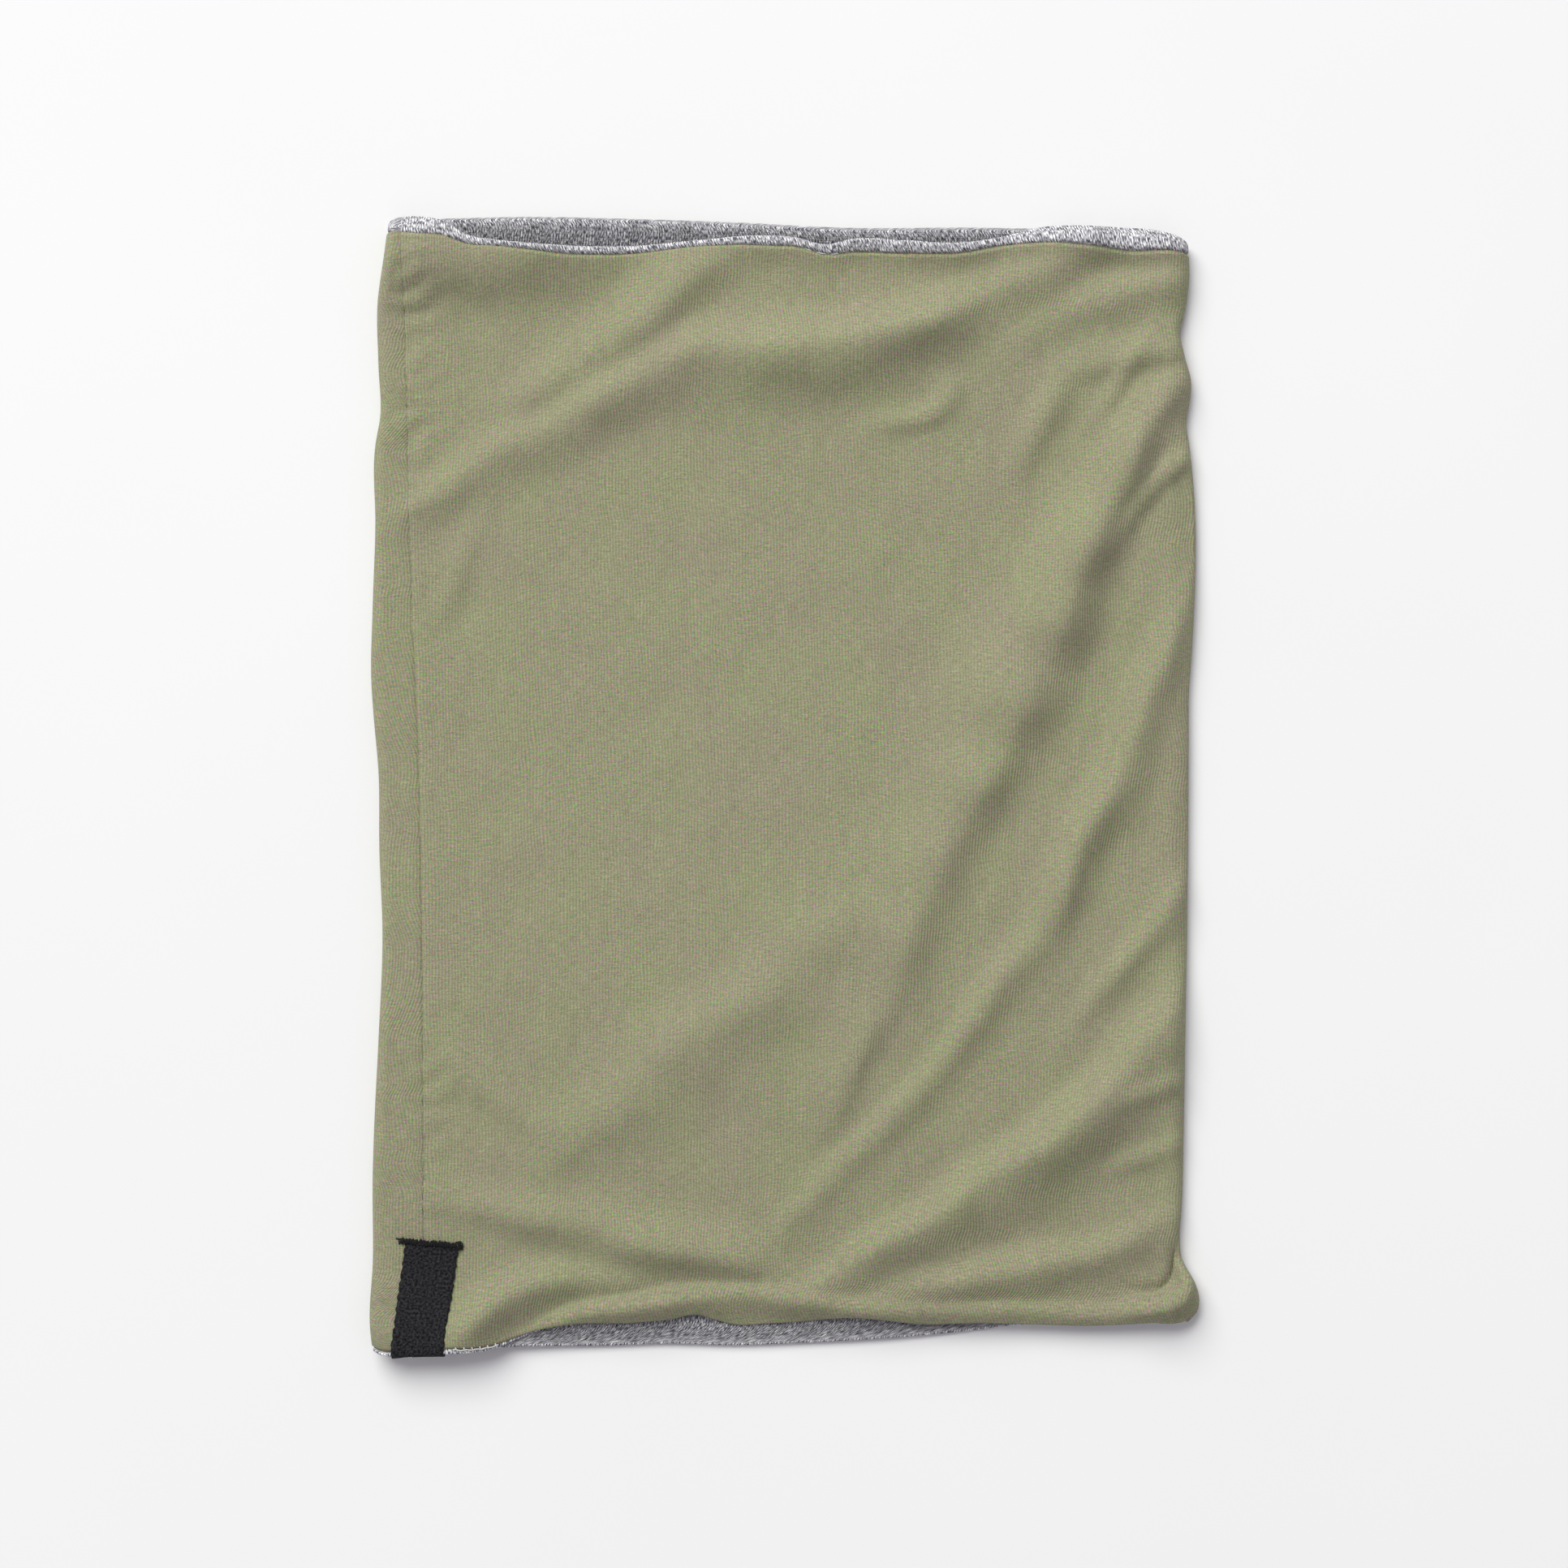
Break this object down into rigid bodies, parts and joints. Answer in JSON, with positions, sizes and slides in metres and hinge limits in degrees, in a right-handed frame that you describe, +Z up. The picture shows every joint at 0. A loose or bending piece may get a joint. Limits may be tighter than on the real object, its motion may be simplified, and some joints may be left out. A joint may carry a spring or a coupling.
{
  "type": "neck gaiter",
  "caption": "Double-layer knitted neck gaiter lying flat: a ribbed outer tube over a heather inner tube, joined at both hems, with a plain woven label looped over one hem.",
  "frame": {"origin": "under the middle of the gaiter, on the surface that it lies on", "axes": "+X across the gaiter from its labelled side fold to the other one, +Y along the tube from the labelled lower hem to the upper hem, +Z up from the surface that it lies on"},
  "size_m": [0.242, 0.3346, 0.0121],
  "materials": {
    "sage_rib_knit": "matt fine rib knit, sage green",
    "heather_jersey": "matt brushed jersey, heather grey of white and charcoal fibres",
    "sage_thread": "matt spun sewing thread, dark sage",
    "pale_thread": "matt spun sewing thread, off-white",
    "black_tape": "matt close-woven tape, black",
    "black_thread": "slightly glossy sewing thread, black"
  },
  "bodies": {
    "root": {"outer_tube": "sage_rib_knit", "inner_tube": "heather_jersey", "outer_side_seam_thread": "sage_thread", "inner_side_seam_thread": "pale_thread", "upper_hem_thread": "pale_thread", "lower_hem_thread": "pale_thread", "hem_closing_thread": "pale_thread", "label": "black_tape", "label_needle_thread": "black_thread", "label_bobbin_thread": "black_thread"}
  },
  "joints": []
}
